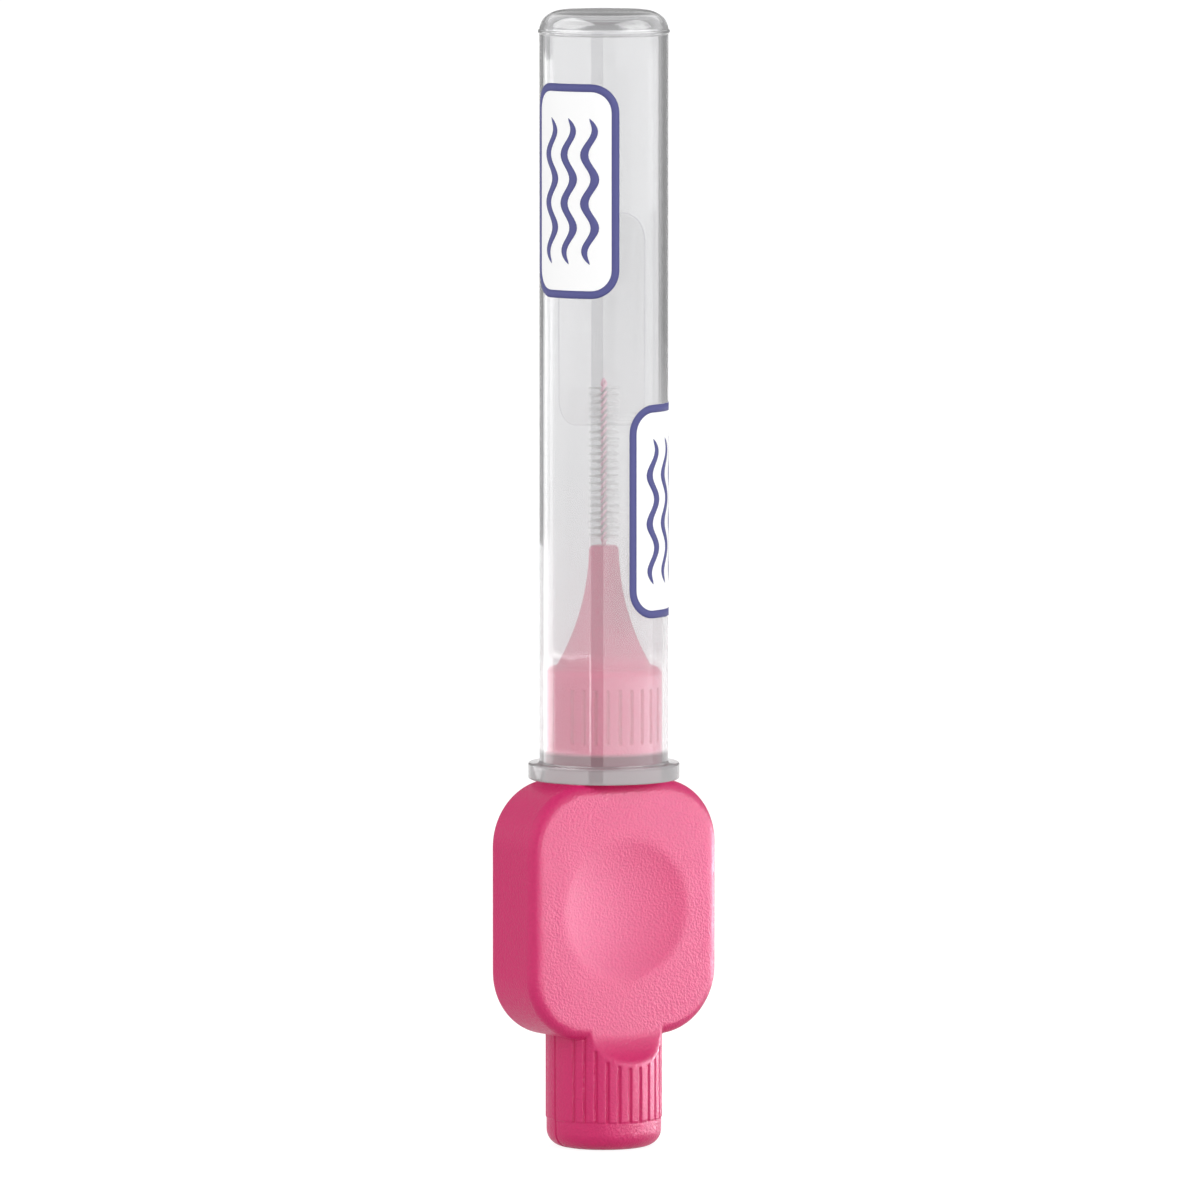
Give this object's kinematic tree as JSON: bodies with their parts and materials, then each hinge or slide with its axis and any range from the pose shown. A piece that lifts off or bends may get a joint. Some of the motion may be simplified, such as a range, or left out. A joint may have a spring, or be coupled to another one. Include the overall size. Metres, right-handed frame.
{
  "type": "interdental brush",
  "caption": "Interdental brush with a flat grip pad, ribbed plugs, a flared nose, a twisted-wire brush and a clear push-on cap.",
  "frame": {"origin": "on the plug axis, in the plane of the rear plug's flat end, on which the capped brush stands", "axes": "+Z along the plug axis towards the brush tip and the cap's closed end, +X along the grip pad's width, +Y along its thickness; the face seen in the picture looks along -Y"},
  "size_m": [0.0156, 0.0106, 0.08],
  "materials": {
    "pink_polypropylene": "fine spark-eroded grain",
    "steel_wire": "drawn",
    "wire_coat": "smooth",
    "nylon_filament": "satin",
    "clear_polypropylene": "clear, slightly milky"
  },
  "bodies": {
    "brush": {"handle": "pink_polypropylene", "wire": "steel_wire", "wire_coating": "wire_coat", "bristles": "nylon_filament"},
    "cap": {"cap": "clear_polypropylene"}
  },
  "joints": [
    {"name": "cap_pull", "type": "slide", "parent": "brush", "child": "cap", "axis": [0, 0, 1], "range_m": [0, 0.04]}
  ]
}
